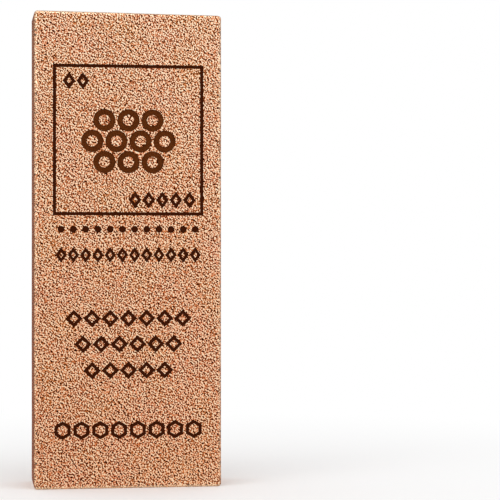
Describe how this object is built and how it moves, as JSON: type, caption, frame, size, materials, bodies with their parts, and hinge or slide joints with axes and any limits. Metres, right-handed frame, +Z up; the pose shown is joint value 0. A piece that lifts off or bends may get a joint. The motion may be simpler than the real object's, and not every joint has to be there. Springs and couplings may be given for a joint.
{
  "type": "copper ingot",
  "caption": "Flat rectangular ingot of solid copper sawn from thick bar, with soft tumbled edges and an engraved square on its front, standing on its sawn end",
  "frame": {"origin": "Middle of the lower sawn end, on the floor that the ingot stands on", "axes": "+Z up along the ingot's length, X across its width, Y through its thickness; the engraved front faces -Y"},
  "size_m": [0.063, 0.0254, 0.16],
  "materials": {
    "copper": "satin"
  },
  "bodies": {
    "root": {"ingot": "copper"}
  },
  "joints": []
}
